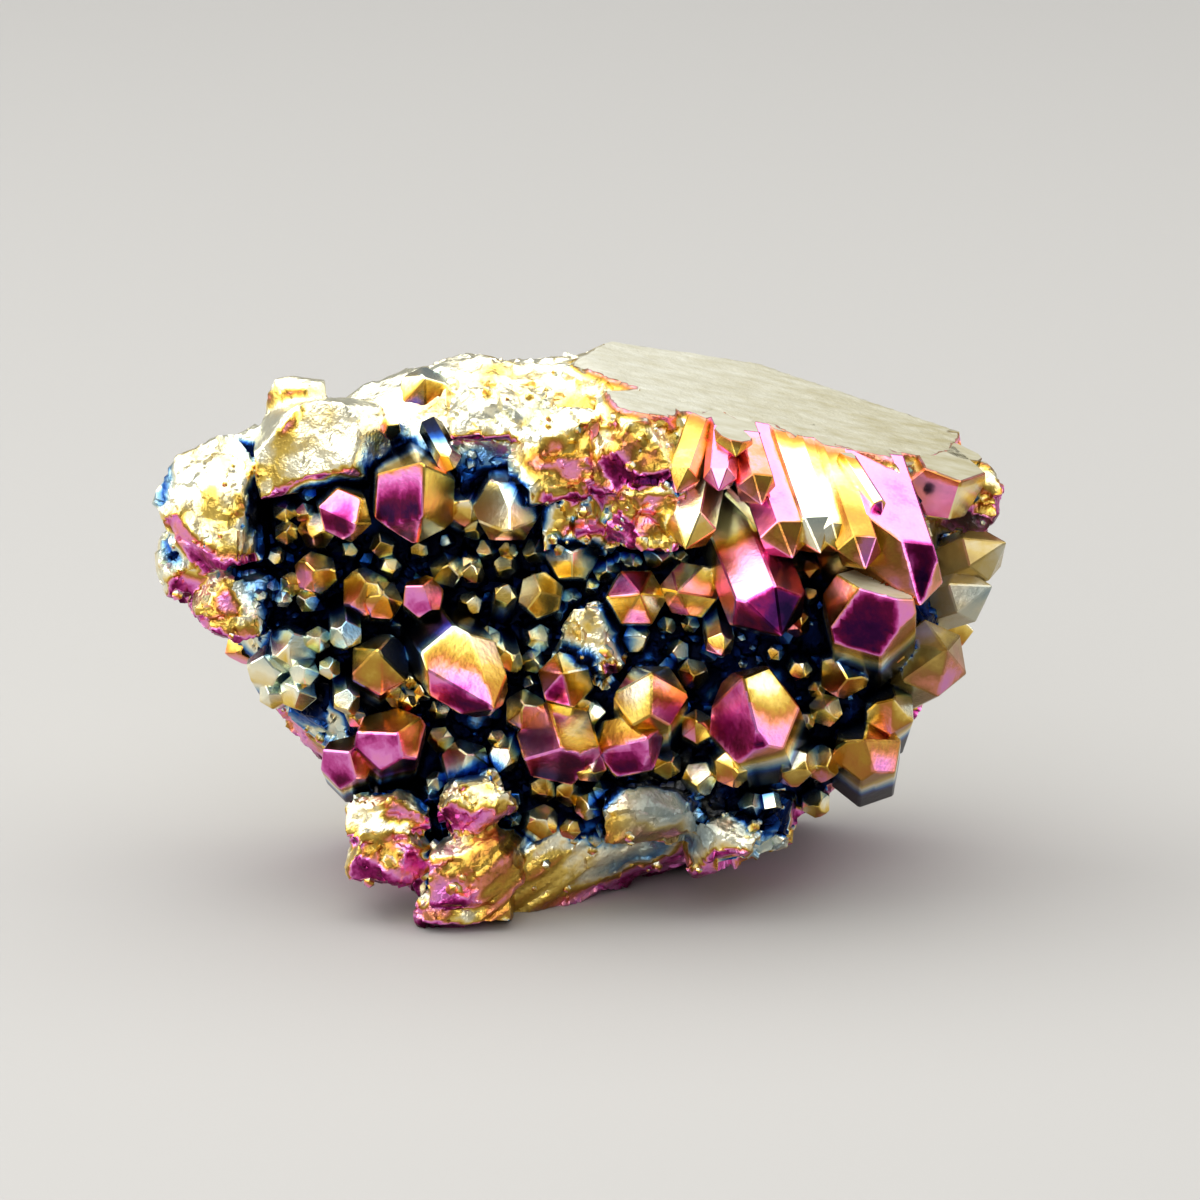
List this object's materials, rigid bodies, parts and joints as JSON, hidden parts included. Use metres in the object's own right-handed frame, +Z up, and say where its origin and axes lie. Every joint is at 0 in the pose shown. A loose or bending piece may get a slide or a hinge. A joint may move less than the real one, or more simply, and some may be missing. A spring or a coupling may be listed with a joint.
{
  "type": "aura quartz cluster",
  "caption": "Hand-sized broken piece of vein rock grown over with stubby six-sided quartz points under a rainbow metallic aura film, with a bare sloping break on top.",
  "frame": {"origin": "middle of the bounding box, at floor level", "axes": "+Z up from the flat cut base, +X along the length of the cluster, -Y towards the crystal face, which leans back 18 degrees"},
  "size_m": [0.0854, 0.0418, 0.0528],
  "materials": {
    "aura_quartz": "natural quartz and vein rock under a vapour-deposited metallic film, gold to magenta on the points, blue to navy in the hollows"
  },
  "bodies": {
    "root": {"quartz_cluster": "aura_quartz"}
  },
  "joints": []
}
